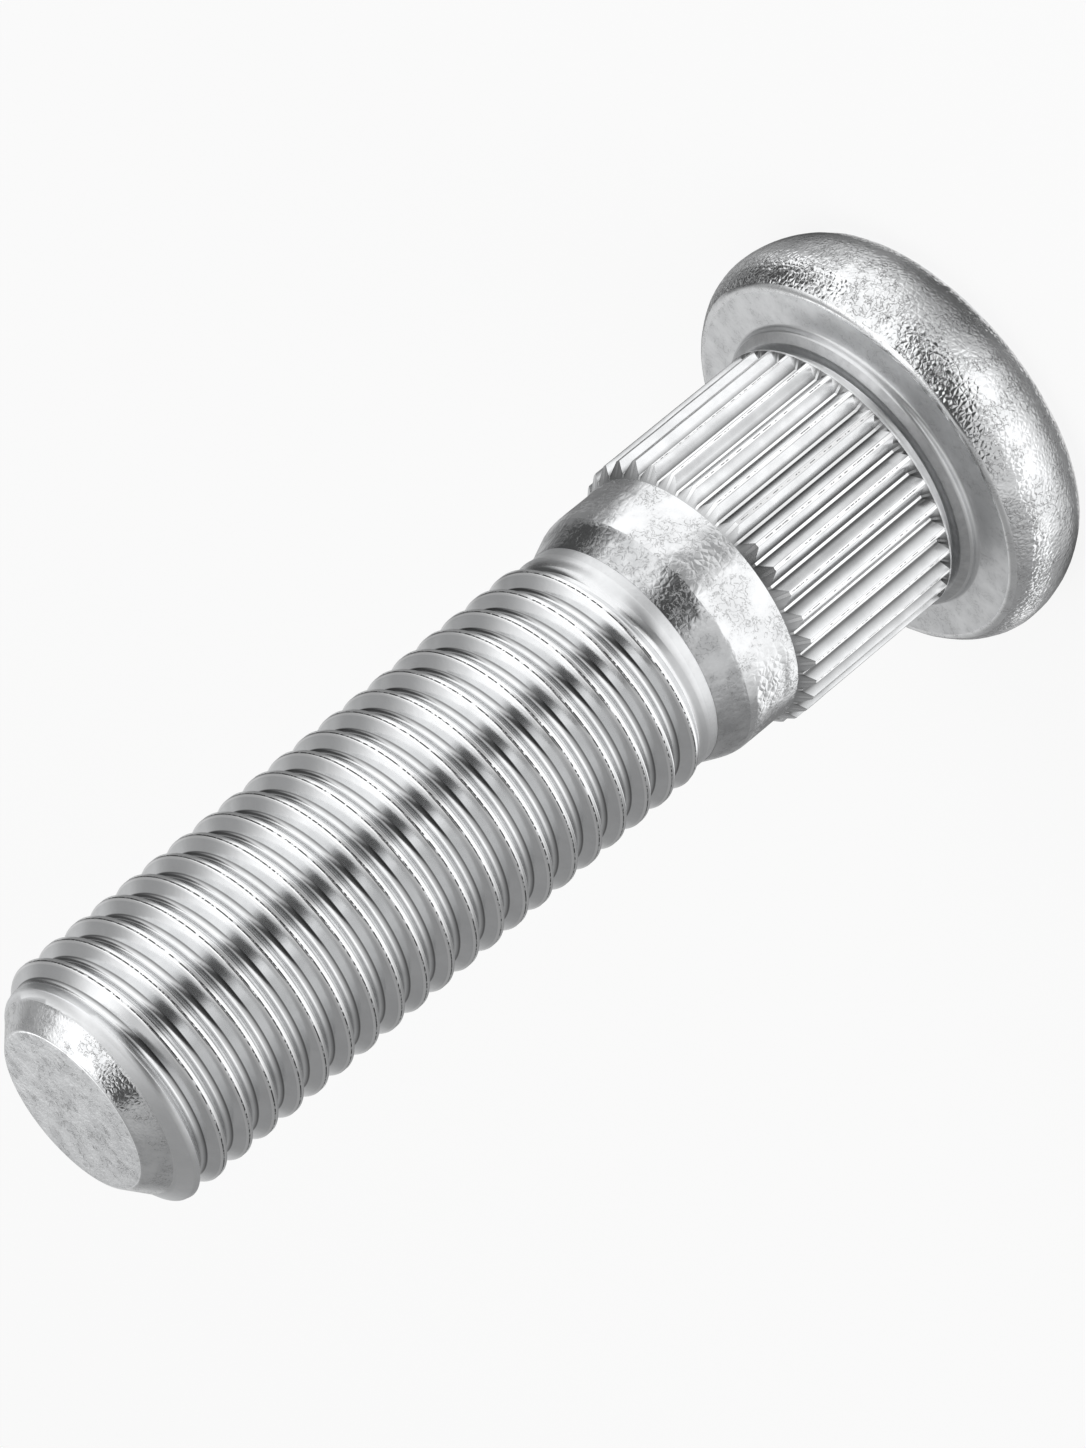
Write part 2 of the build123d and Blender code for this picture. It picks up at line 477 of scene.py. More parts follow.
def studMesh():
    # sections from the head's back to the tip's face; shared points become one, and faces with no area go
    blocks = []     # points, faces, finish and painted light (painted shade and highlight) of each section

    def addBlock(points, faces, finish, paintedLight=0.0):
        slot = np.full(len(faces), finishNames.index(finish))
        blocks.append((points, faces, slot, np.broadcast_to(paintedLight, (len(points),))))

    def ringSection(points, finish, paintedLight=0.0):
        rows, columns = points.shape[:2]
        shade = np.broadcast_to(paintedLight, (rows, columns)).ravel()
        addBlock(points.reshape(-1, 3), gridFaces(rows, columns), finish, shade)

    def poleFan(ring, height, finish, up):
        # triangles from a ring to a point on the axis, facing up or down
        count = len(ring)
        j = np.arange(count)
        fan = np.stack([j, (j + 1) % count, np.full(count, count)], -1)
        addBlock(np.concatenate([ring, [[0.0, 0.0, height]]]), fan if up else fan[:, ::-1], finish)

    def dented(points, h, depth, prefix):
        # moved in along the normals by depth times a seeded field, which fades to nothing at both ends
        weight = np.sin(np.linspace(0, np.pi, len(points))) ** 0.5
        seed, short, long, waves = (h[prefix + part] for part in ("Seed", "Short", "Long", "Waves"))
        dents = dentField(points, seed, short, long, waves) * weight[:, None]
        return points - outwardNormals(points) * (depth * dents)[..., None]

    backRow, rimRow = rimRows()
    back = revolved(backRow, ringAngles)
    rim = dented(revolved(rimRow, ringAngles), head, head["rimDent"], "rimDent")
    ringSection(back, "crinkledRim")
    edgeStart = len(rim) - 1 - head["seatRoundRows"]
    ringSection(rim[:edgeStart + 1], "crinkledRim")
    ringSection(rim[edgeStart:], "wornEdge")
    poleFan(back[0], head["back"], "crinkledRim", False)

    ringSection(revolved(seatRows(rimRow[-1]), ringAngles), "matteSeat")
    collarRow, slopeRow, neckRow = collarRows()
    neck = revolved(neckRow, ringAngles)
    ringSection(revolved(collarRow, ringAngles), "collarZinc")
    # the slope and top take the darker copy with painted shade
    ringSection(revolved(slopeRow, ringAngles), "shadedNeck")
    # painted shade on the land's edge row, where the grooves run out
    landEdge = np.arange(len(neck))[:, None] == len(neck) - 1
    ringSection(neck, "collarZinc", landEdge * serrations["landShade"])

    press = serrationSurface(shoulder["radius"])
    ringSection(press, "serratedZinc", ringPaintedLight)
    ringSection(np.concatenate([neck[-1:], press[:1]]), "serratedZinc")
    wall = revolved(shoulderRows(), ringAngles)
    # painted shade where the lead meets the shoulder
    ringSection(np.concatenate([press[-1:], wall[:1]]), "serratedZinc", serrations["footShade"])
    wall = dented(wall, shoulder, shoulder["dent"], "dent")
    taperStart = shoulder["leadRows"] + shoulder["rows"] + shoulder["roundRows"] // 2
    ringSection(wall[:taperStart + 1], "stippledShoulder")
    ringSection(wall[taperStart:], "dulledTaper")

    helix, helixFaces, threadAngles, helixPaintedLight = threadSurface()
    reliefStart = (shoulder["reliefRadius"], shoulder["top"] + shoulder["reliefRise"])
    reliefEnd = (shoulder["reliefRadius"], thread["bottom"])
    relief = revolved(lineRows(reliefStart, reliefEnd, thread["reliefRows"], whole=True), threadAngles)
    addBlock(np.concatenate([wall[-1], relief[0]]), zipFaces(ringAngles, threadAngles), "collarZinc")
    ringSection(relief, "collarZinc")
    addBlock(helix.reshape(-1, 3), helixFaces, "satinThread", helixPaintedLight.ravel())

    coneRow, faceRow = tipRows()
    face = revolved(faceRow, threadAngles)
    edgeStart = len(coneRow) - 1 - tip["edgeRows"]
    ringSection(revolved(coneRow[:edgeStart + 1], threadAngles), "speckledCone")
    ringSection(revolved(coneRow[edgeStart:], threadAngles), "wornEdge")
    ringSection(face, "shearedEnd")
    poleFan(face[-1], tip["length"], "shearedEnd", True)

    starts = np.cumsum([0] + [len(block[0]) for block in blocks])
    faces = np.concatenate([block[1] + start for block, start in zip(blocks, starts)])
    points, finish, paintedLight = (np.concatenate([block[n] for block in blocks]) for n in (0, 2, 3))
    grid = np.round(points / mergeStep).astype(np.int64)
    firstSeen, same = np.unique(grid, axis=0, return_index=True, return_inverse=True)[1:]
    faces = same.reshape(-1)[faces]
    solid = (faces != np.roll(faces, 1, axis=1)).all(axis=1)
    faces, finish = faces[solid], finish[solid]
    points, paintedLight = points[firstSeen], paintedLight[firstSeen]
    used = np.unique(faces)
    renumber = np.zeros(len(points), dtype=np.int64)
    renumber[used] = np.arange(len(used))
    return points[used] * mm, renumber[faces], finish, paintedLight[used]


studPoints, studFaces, studFinish, studPaintedLight = studMesh()
edgeKey = np.sort(studFaces[:, [[0, 1], [1, 2], [2, 0]]].reshape(-1, 2), axis=1)
edgeUses = np.unique(edgeKey, axis=0, return_counts=True)[1]
openEdges = int((edgeUses != 2).sum())
print("stud surface:", len(studPoints), "points,", len(studFaces), "triangles,", openEdges, "open edges")

studData = bpy.data.meshes.new("platedStud")
studData.vertices.add(len(studPoints))
studData.vertices.foreach_set("co", studPoints.astype(np.float32).ravel())
studData.loops.add(studFaces.size)
studData.loops.foreach_set("vertex_index", studFaces.astype(np.int32).ravel())
studData.polygons.add(len(studFaces))
studData.polygons.foreach_set("loop_start", np.arange(0, studFaces.size, 3, dtype=np.int32))
studData.update(calc_edges=True)
studData.validate()
studData.polygons.foreach_set("material_index", studFinish.astype(np.int32))
studData.polygons.foreach_set("use_smooth", np.ones(len(studFaces), dtype=bool))
studData.set_sharp_from_angle(angle=math.radians(sharpAngle))
# painted light for each point: positive is painted shade, negative is painted highlight
studData.attributes.new("paintedLight", "FLOAT", "POINT").data.foreach_set("value", studPaintedLight.astype(np.float32))
plated = bpy.data.objects.new("platedStud", studData)
bpy.context.scene.collection.objects.link(plated)
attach(plated, "root")
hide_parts("wheel_stud")


# Finishes

nodeSpacing = 220
noiseMiddle = 0.5


def newNode(tree, kind, inputs=None, **values):
    # one node with its settings, and its inputs linked to a socket or set to a value;
    # nodes stand in a row in the order in which they are made
    node = tree.nodes.new("ShaderNode" + kind)
    node.location = (nodeSpacing * len(tree.nodes), 0)
    for name, value in values.items():
        setattr(node, name, value)
    for name, value in (inputs or {}).items():
        if isinstance(value, bpy.types.NodeSocket):
            tree.links.new(value, node.inputs[name])
        else:
            node.inputs[name].default_value = value
    return node


def newMaterial(name):
    # a material and its empty tree
    material = bpy.data.materials.new(name)
    material.use_nodes = True
    material.node_tree.nodes.clear()
    return material, material.node_tree


def mathNode(tree, operation, first, second=0.0, clamp=False):
    # one Math node; each operand is a socket or a number
    operands = {0: first, 1: second}
    return newNode(tree, "Math", operands, operation=operation, use_clamp=clamp).outputs[0]


def rangeNode(tree, value, edges, falls=False):
    # 0 below both edges and 1 above them, with a smooth step between, or the other way round where it falls
    ends = (1.0, 0.0) if falls else (0.0, 1.0)
    inputs = dict(zip(("From Min", "From Max", "To Min", "To Max"), (*edges, *ends)), Value=value)
    return newNode(tree, "MapRange", inputs, interpolation_type="SMOOTHSTEP").outputs["Result"]


def noiseNode(tree, place, scale, form):
    # one Noise node; its form is (detail, roughness, distortion)
    inputs = dict(zip(("Detail", "Roughness", "Distortion"), form), Vector=place, Scale=scale)
    return newNode(tree, "TexNoise", inputs).outputs["Fac"]


def foldedNoise(tree, place, scale, form):
    # distance of a noise from its middle value
    offset = mathNode(tree, "SUBTRACT", noiseNode(tree, place, scale, form), noiseMiddle)
    return mathNode(tree, "ABSOLUTE", offset)


def mixColour(tree, factor, first, second):
    # first where the factor is 0, second where it is 1; each is a socket or a grey tone
    inputs = {"Factor": factor}
    for name, colour in (("A", first), ("B", second)):
        inputs[name] = (colour, colour, colour, 1.0) if isinstance(colour, float) else colour
    return newNode(tree, "Mix", inputs, data_type="RGBA").outputs["Result"]


def groupWith(name, inputs, outputs):
    # an empty group with named sockets, and its two end nodes
    group = bpy.data.node_groups.new(name, "ShaderNodeTree")
    for way, sockets in (("INPUT", inputs), ("OUTPUT", outputs)):
        for label, kind in sockets:
            group.interface.new_socket(label, in_out=way, socket_type="NodeSocket" + kind)
    return group, group.nodes.new("NodeGroupInput").outputs, group.nodes.new("NodeGroupOutput").inputs


grainLayers = ("Facet", "Crinkle", "Fine", "Vein")
# a noise is (detail, roughness, distortion), and a pair is where a soft edge starts and ends
grainForm = {
    "crinkleNoise": (1.0, 0.5, 0.0),
    "fineNoise": (2.0, 0.5, 0.0),
    "toneNoise": (5.0, 0.65, 0.0),
    "toneSpread": (0.3, 0.7),
    "veinNoise": (4.0, 0.6, 0.6),
    "veinWidth": (0.004, 0.022),
    "veinPlace": (0.44, 0.56),
    "veinDepth": 0.3,
    "veinTone": 0.3,
}


def platingGrainGroup():
    # flat facets that slope to the edges of cells, crinkle folded at its middle value, fine grain, thin dark
    # veins and slow tone; a vein is where its noise is next to its middle value and the slow tone is low
    g = grainForm
    layers = [(layer + part, "Float") for layer in grainLayers for part in (" Scale", " Share")]
    group, entry, leave = groupWith(
        "platingGrain",
        [("Place", "Vector"), *layers, ("Tone Scale", "Float"), ("Low Roughness", "Float"),
         ("High Roughness", "Float"), ("Dark Tone", "Color"), ("Light Tone", "Color")],
        [("Colour", "Color"), ("Roughness", "Float"), ("Height", "Float")],
    )
    place = entry["Place"]
    cells = {"Vector": place, "Scale": entry["Facet Scale"]}
    facet = newNode(group, "TexVoronoi", cells, feature="DISTANCE_TO_EDGE").outputs["Distance"]
    crinkle = foldedNoise(group, place, entry["Crinkle Scale"], g["crinkleNoise"])
    fine = noiseNode(group, place, entry["Fine Scale"], g["fineNoise"])
    tone = noiseNode(group, place, entry["Tone Scale"], g["toneNoise"])
    facetPart = mathNode(group, "MULTIPLY", facet, entry["Facet Share"])
    crinklePart = mathNode(group, "MULTIPLY", crinkle, entry["Crinkle Share"])
    finePart = mathNode(group, "MULTIPLY", fine, entry["Fine Share"])
    coarse = mathNode(group, "ADD", facetPart, crinklePart)
    spread = rangeNode(group, tone, g["toneSpread"])
    veinGap = foldedNoise(group, place, entry["Vein Scale"], g["veinNoise"])
    veinLine = rangeNode(group, veinGap, g["veinWidth"], falls=True)
    veinPlace = rangeNode(group, tone, g["veinPlace"], falls=True)
    vein = mathNode(group, "MULTIPLY", veinLine, veinPlace)
    vein = mathNode(group, "MULTIPLY", vein, entry["Vein Share"])
    relief = mathNode(group, "ADD", coarse, finePart)
    veinDepth = mathNode(group, "MULTIPLY", vein, g["veinDepth"])
    colour = mixColour(group, spread, entry["Dark Tone"], entry["Light Tone"])
    ends = {"Value": spread, "To Min": entry["High Roughness"], "To Max": entry["Low Roughness"]}
    rough = newNode(group, "MapRange", ends).outputs["Result"]
    group.links.new(mathNode(group, "SUBTRACT", relief, veinDepth), leave["Height"])
    group.links.new(mixColour(group, vein, colour, g["veinTone"]), leave["Colour"])
    group.links.new(rough, leave["Roughness"])
    return group


seamForm = {
    "dashNoise": (2.0, 0.6, 0.3),
    "dashEdge": (-0.03, 0.05),
    "lineEdge": (0.6, 1.3),      # this and the painted glint's two edges are in half widths of the line
    "glintStart": (1.2, 1.8),
    "glintEnd": (2.8, 4.0),
    "spanSoft": 0.2,             # millimetres over which a seam starts and ends
    "rough": 0.3,
    "depth": 1.5,
}


def dashedSeamGroup():
    # a broken line: 1 within the half width of the line, where a noise is over the cut; a painted glint runs
    # along both its sides
    s = seamForm
    group, entry, leave = groupWith(
        "dashedSeam",
        [("Place", "Vector"), ("Offset", "Float"), ("Half Width", "Float"), ("Dash Scale", "Float"),
         ("Dash Cut", "Float")],
        [("Seam", "Float"), ("Glint", "Float")],
    )
    dash = noiseNode(group, entry["Place"], entry["Dash Scale"], s["dashNoise"])
    share = mathNode(group, "DIVIDE", entry["Offset"], entry["Half Width"])
    line = rangeNode(group, share, s["lineEdge"], falls=True)
    over = mathNode(group, "SUBTRACT", dash, entry["Dash Cut"])
    broken = rangeNode(group, over, s["dashEdge"])
    group.links.new(mathNode(group, "MULTIPLY", line, broken), leave["Seam"])
    glintStart = rangeNode(group, share, s["glintStart"])
    glintEnd = rangeNode(group, share, s["glintEnd"], falls=True)
    group.links.new(mathNode(group, "MULTIPLY", glintStart, glintEnd), leave["Glint"])
    return group


grainGroup = platingGrainGroup()
seamGroup = dashedSeamGroup()

# facet, crinkle, fine and vein are (scale per metre, share); rough is (where light, where dark);
# dark and light are greys, and relief is metres of bump
finishes = {
    "crinkledRim": {
        "facet": (4000, 1.4), "crinkle": (1800, 1.7), "fine": (9000, 0.05), "vein": (2800, 0.95), "tone": 700,
        "rough": (0.08, 0.13), "dark": 0.68, "light": 0.84, "relief": 3.2e-5},
    "satinThread": {
        "facet": (2000, 0.0), "crinkle": (1800, 0.5), "fine": (9000, 0.2), "vein": (1500, 0.0), "tone": 500,
        "rough": (0.12, 0.18), "dark": 0.72, "light": 0.81, "relief": 5e-6},
    "serratedZinc": {
        "facet": (2000, 0.0), "crinkle": (1500, 0.5), "fine": (8000, 0.2), "vein": (1500, 0.0), "tone": 600,
        "rough": (0.18, 0.26), "dark": 0.67, "light": 0.79, "relief": 6e-6},
    "matteSeat": {
        "facet": (2500, 0.2), "crinkle": (2500, 0.6), "fine": (9000, 0.3), "vein": (1800, 0.35), "tone": 500,
        "rough": (0.36, 0.48), "dark": 0.67, "light": 0.83, "relief": 2e-5},
    "shearedEnd": {
        "facet": (2500, 0.2), "crinkle": (1500, 0.8), "fine": (7000, 0.4), "vein": (1300, 0.6), "tone": 900,
        "rough": (0.34, 0.46), "dark": 0.55, "light": 0.7, "relief": 4e-5},
    "stippledShoulder": {
        "facet": (3000, 0.75), "crinkle": (1300, 0.7), "fine": (9000, 0.05), "vein": (2800, 0.7), "tone": 600,
        "rough": (0.1, 0.16), "dark": 0.66, "light": 0.8, "relief": 1.5e-5},
    "collarZinc": {
        "facet": (3000, 0.1), "crinkle": (3000, 0.5), "fine": (9000, 0.3), "vein": (1800, 0.1), "tone": 500,
        "rough": (0.3, 0.38), "dark": 0.66, "light": 0.74, "relief": 1e-5},
    # painted shade: a darker copy of collarZinc for the slope and top between the collar and the serrations
    "shadedNeck": {
        "facet": (3000, 0.1), "crinkle": (3000, 0.5), "fine": (9000, 0.4), "vein": (1800, 0.2), "tone": 900,
        "rough": (0.36, 0.46), "dark": 0.5, "light": 0.64, "relief": 1.2e-5},
    "speckledCone": {
        "facet": (5200, 0.7), "crinkle": (2400, 0.5), "fine": (9000, 0.04), "vein": (3600, 0.9), "tone": 900,
        "rough": (0.08, 0.13), "dark": 0.7, "light": 0.9, "relief": 1.5e-5},
    "dulledTaper": {
        "facet": (3400, 1.0), "crinkle": (1500, 0.8), "fine": (9000, 0.05), "vein": (3000, 0.8), "tone": 900,
        "rough": (0.14, 0.22), "dark": 0.5, "light": 0.7, "relief": 1.5e-5},
    "wornEdge": {
        "facet": (2900, 0.3), "crinkle": (1300, 0.3), "fine": (9000, 0.05), "vein": (2400, 0.5), "tone": 900,
        "rough": (0.15, 0.22), "dark": 0.8, "light": 0.92, "relief": 1e-5},
}

# dark broken lines that rolling left along the crests, in millimetres; endRough is added beyond the span
# glint is the strength of the painted highlight along both sides of each seam
seams = {
    "satinThread": {
        "place": 0.075, "halfWidth": 0.032, "dashScale": 5200, "dashCut": 0.45, "tone": 0.05, "glint": 0.9,
        "span": (16.0, 46.2), "endRough": 0.2},
    "serratedZinc": {
        "place": 0.0, "halfWidth": 0.024, "dashScale": 3800, "dashCut": 0.52, "tone": 0.25, "glint": 0.5,
        "span": (1.9, 9.8), "endRough": 0.05},
}
# painted light: how much of the painted shade and painted highlight tones is mixed in
paintedLightForm = {"share": 0.9, "paintedShadeTone": 0.08, "paintedHighlightTone": 0.95}


def zincTone(grey):
    # a grey with a trace of blue
    return (grey, grey + 0.005, grey + 0.01, 1.0)


def crestOffset(tree, name, place):
    # distance in millimetres from the seam of the nearest crest: along Z on the helix, round the stud on the
    # serrations; crests lie half way between whole counts of turns or of grooves
    split = newNode(tree, "SeparateXYZ", {"Vector": place}).outputs
    angle = mathNode(tree, "ARCTAN2", split["Y"], split["X"])
    if name == "satinThread":
        turn = mathNode(tree, "DIVIDE", angle, 2 * math.pi)
        height = mathNode(tree, "DIVIDE", split["Z"], thread["pitch"] * mm)
        crest = mathNode(tree, "SUBTRACT", height, turn)
        crest = mathNode(tree, "SUBTRACT", crest, thread["start"] - 0.5)
        width = thread["pitch"]
    else:
        crest = mathNode(tree, "DIVIDE", angle, 2 * math.pi / serrations["count"])
        width = 2 * math.pi * serrations["crestRadius"] / serrations["count"]
    share = mathNode(tree, "FRACT", crest)
    share = mathNode(tree, "SUBTRACT", share, 0.5 + seams[name]["place"] / width)
    share = mathNode(tree, "ABSOLUTE", share)
    return mathNode(tree, "MULTIPLY", share, width), split["Z"]


def crestSeam(tree, name, place):
    # the seam and the painted glint along both its sides, only over the length that has crests, and the
    # duller finish beyond that
    values = seams[name]
    offset, height = crestOffset(tree, name, place)
    inputs = {"Place": place, "Offset": offset, "Half Width": values["halfWidth"]}
    inputs["Dash Scale"], inputs["Dash Cut"] = values["dashScale"], values["dashCut"]
    seam = newNode(tree, "Group", inputs, node_tree=seamGroup).outputs
    soft = seamForm["spanSoft"]
    low, high = values["span"]
    over = rangeNode(tree, height, ((low - soft) * mm, (low + soft) * mm))
    under = rangeNode(tree, height, ((high - soft) * mm, (high + soft) * mm), falls=True)
    within = mathNode(tree, "MULTIPLY", over, under)
    line = mathNode(tree, "MULTIPLY", seam["Seam"], within)
    glint = mathNode(tree, "MULTIPLY", seam["Glint"], within)
    beyond = mathNode(tree, "SUBTRACT", 1.0, within)
    dull = mathNode(tree, "MULTIPLY", beyond, values["endRough"])
    return line, mathNode(tree, "MULTIPLY", glint, values["glint"]), dull


def platedFinish(name):
    # metal with the grain's colour, roughness and bump; where there are seams, these are mixed in, and so are
    # painted shade in corners (positive painted light) and painted highlights (negative)
    values = finishes[name]
    material, tree = newMaterial(name)
    place = newNode(tree, "TexCoord").outputs["Object"]
    inputs = {"Place": place, "Tone Scale": values["tone"]}
    for layer in grainLayers:
        inputs[layer + " Scale"], inputs[layer + " Share"] = values[layer.lower()]
    inputs["Low Roughness"], inputs["High Roughness"] = values["rough"]
    inputs["Dark Tone"], inputs["Light Tone"] = zincTone(values["dark"]), zincTone(values["light"])
    grain = newNode(tree, "Group", inputs, node_tree=grainGroup).outputs
    colour, roughness, height = grain["Colour"], grain["Roughness"], grain["Height"]
    if name in seams:
        line, glint, dull = crestSeam(tree, name, place)
        # painted shade in corners and grooves, painted highlights on lands and crests, painted glints beside
        # the seams
        paintedLight = newNode(tree, "Attribute", attribute_name="paintedLight").outputs["Fac"]
        dark = mathNode(tree, "MULTIPLY", paintedLight, paintedLightForm["share"], clamp=True)
        paintedHighlight = mathNode(tree, "MULTIPLY", paintedLight, -paintedLightForm["share"], clamp=True)
        colour = mixColour(tree, dark, colour, paintedLightForm["paintedShadeTone"])
        colour = mixColour(tree, paintedHighlight, colour, paintedLightForm["paintedHighlightTone"])
        colour = mixColour(tree, glint, colour, paintedLightForm["paintedHighlightTone"])
        colour = mixColour(tree, line, colour, seams[name]["tone"])
        roughness = mathNode(tree, "ADD", roughness, dull)
        roughness = mathNode(tree, "ADD", roughness, mathNode(tree, "MULTIPLY", line, seamForm["rough"]))
        height = mathNode(tree, "SUBTRACT", height, mathNode(tree, "MULTIPLY", line, seamForm["depth"]))
    bump = newNode(tree, "Bump", {"Distance": values["relief"], "Height": height}).outputs["Normal"]
    inputs = {"Metallic": 1.0, "Base Color": colour, "Roughness": roughness, "Normal": bump}
    metal = newNode(tree, "BsdfPrincipled", inputs).outputs["BSDF"]
    newNode(tree, "OutputMaterial", {"Surface": metal})
    return material


for finishName in finishNames:
    studData.materials.append(platedFinish(finishName))
print("finishes:", ", ".join(finishNames))


# Floor, tent and lamps

floor = {"size": 4.0, "white": 0.9, "shadowShare": 0.14}


def floorMaterial():
    # white cloth; the camera and reflections see plain white with only a share of its light and shade
    material, tree = newMaterial("paleFloor")
    rays = newNode(tree, "LightPath").outputs
    seen = mathNode(tree, "MAXIMUM", rays["Is Camera Ray"], rays["Is Glossy Ray"])
    share = mathNode(tree, "MULTIPLY", seen, 1.0 - floor["shadowShare"])
    white = (floor["white"], floor["white"], floor["white"], 1.0)
    cloth = newNode(tree, "BsdfDiffuse", {"Color": white}).outputs["BSDF"]
    glow = newNode(tree, "Emission", {"Color": (1.0, 1.0, 1.0, 1.0)}).outputs["Emission"]
    mix = newNode(tree, "MixShader", {"Fac": share, 1: cloth, 2: glow}).outputs["Shader"]
    newNode(tree, "OutputMaterial", {"Surface": mix})
    return material


def sheetObject(name, points, material):
    # a grid of points as one open sheet
    rows, columns = points.shape[:2]
    i, j = np.meshgrid(np.arange(rows - 1), np.arange(columns - 1), indexing="ij")
    a = (i * columns + j).ravel()
    faces = np.stack([a, a + 1, a + columns + 1, a + columns], -1)
    data = bpy.data.meshes.new(name)
    data.from_pydata(points.reshape(-1, 3).tolist(), [], faces.tolist())
    data.materials.append(material)
    sheet = bpy.data.objects.new(name, data)
    bpy.context.scene.collection.objects.link(sheet)
    return sheet


floorSide = np.linspace(-floor["size"] / 2, floor["size"] / 2, 3)
floorX, floorY = np.meshgrid(floorSide, floorSide)
floorPoints = np.stack([floorX, floorY, np.full_like(floorX, head["back"] * mm)], axis=2)
sheetObject("paleFloor", floorPoints, floorMaterial())

# A tent round the stud, which only reflections show: a white cloth with soft panels, in degrees.
# Azimuth is from the camera's side, positive to the image's lower right; a lean is for each degree of
# elevation; bottom and top are (elevation, soft). floorEnd and floorTone hold on the floor, where near and
# between are the panel's shares up to nearEnd and from there to farStart, 1 and 0 unless given
tent = {
    "innerRadius": 9.3,
    "nearEnd": 17.5,
    "farStart": 38.0,
    "floorSoft": 2.0,
    "nearRows": (42.0, 40),      # fine rows on the floor end here, and their count
    "farRows": (50.0, 6),        # coarse rows start here, and their count
    "domeRows": 75,
    "columns": 241,
    "tint": (0.99, 0.995, 1.0, 1.0),
    "radius": 150.0,
    "lift": 0.05,
    "white": 1.3,
    "panels": {
        "zenith": {"start": -180, "end": 180, "soft": 0.5, "tone": 0.68, "bottom": (78, 2)},
        "rightHaze": {"start": 26, "end": 120, "soft": 14, "tone": 0.5, "bottom": (46, 8)},
        "rightVeil": {"start": 16, "end": 120, "soft": 10, "tone": 0.76, "floorTone": 1.3, "top": (50, 6)},
        "cameraGap": {"start": -32, "end": -5, "floorEnd": -3, "startLean": 0.25, "endLean": 0.75, "soft": 8,
                      "tone": 0.08, "floorTone": 0.42, "near": 0.7, "between": 0.4, "top": (76, 2)},
        "leftGrey": {"start": -158, "end": -106, "soft": 20, "tone": 0.36, "top": (66, 8)},
        "leftFlag": {"start": -158, "end": -72, "floorEnd": -97, "endLean": -0.7, "soft": 14, "tone": 0.08,
                     "floorTone": 0.26, "top": (24, 5)},
        "rightGrey": {"start": 80, "end": 178, "soft": 30, "tone": 0.31, "top": (82, 5)},
        "farGrey": {"start": 164, "end": 214, "soft": 12, "tone": 0.62, "top": (50, 8)},
        "backStrip": {"start": -178, "end": -154, "soft": 6, "tone": 1.6, "bottom": (44, 3), "top": (66, 4)},
    },
    "nearFloor": {"start": 68, "end": 296, "soft": 18, "tone": 0.42},
    "backFloor": {"start": 125, "end": 258, "soft": 14, "tone": 0.22},   # between nearEnd and farStart
    "shades": {      # painted shade on the tent's floor round the head and under its edge, share of the tone that stays
        "roundHead": {"radius": 12.4, "soft": 1.0, "share": 0.62},
        "contact": {"radius": 10.3, "soft": 0.3, "share": 0.3},
    },
}


def softStep(value, edge, soft):
    # 0 below the edge, 1 above it, with a smooth ramp as wide as soft on each side
    share = np.clip((value - edge) / (2 * soft) + 0.5, 0.0, 1.0)
    return share * share * (3 - 2 * share)


def panelMask(azimuth, lift, panel):
    # 1 inside the panel's azimuths, with soft edges that lean with the elevation; the floor has its own end
    leaning = panel["end"] + panel.get("endLean", 0.0) * lift
    end = np.where(lift > 0, leaning, panel.get("floorEnd", panel["end"]))
    middle = (panel["start"] + panel["end"]) / 2
    near = (azimuth - middle + 180) % 360 - 180 + middle
    left = softStep(near, panel["start"] + panel.get("startLean", 0.0) * lift, panel["soft"])
    return left * (1 - softStep(near, end, panel["soft"]))


def tentMaterial():
    # cloth that glows by the tone that each point of the tent carries
    material, tree = newMaterial("studioTent")
    tone = newNode(tree, "Attribute", attribute_name="tone").outputs["Fac"]
    glow = newNode(tree, "Emission", {"Color": tent["tint"], "Strength": tone}).outputs["Emission"]
    newNode(tree, "OutputMaterial", {"Surface": glow})
    return material


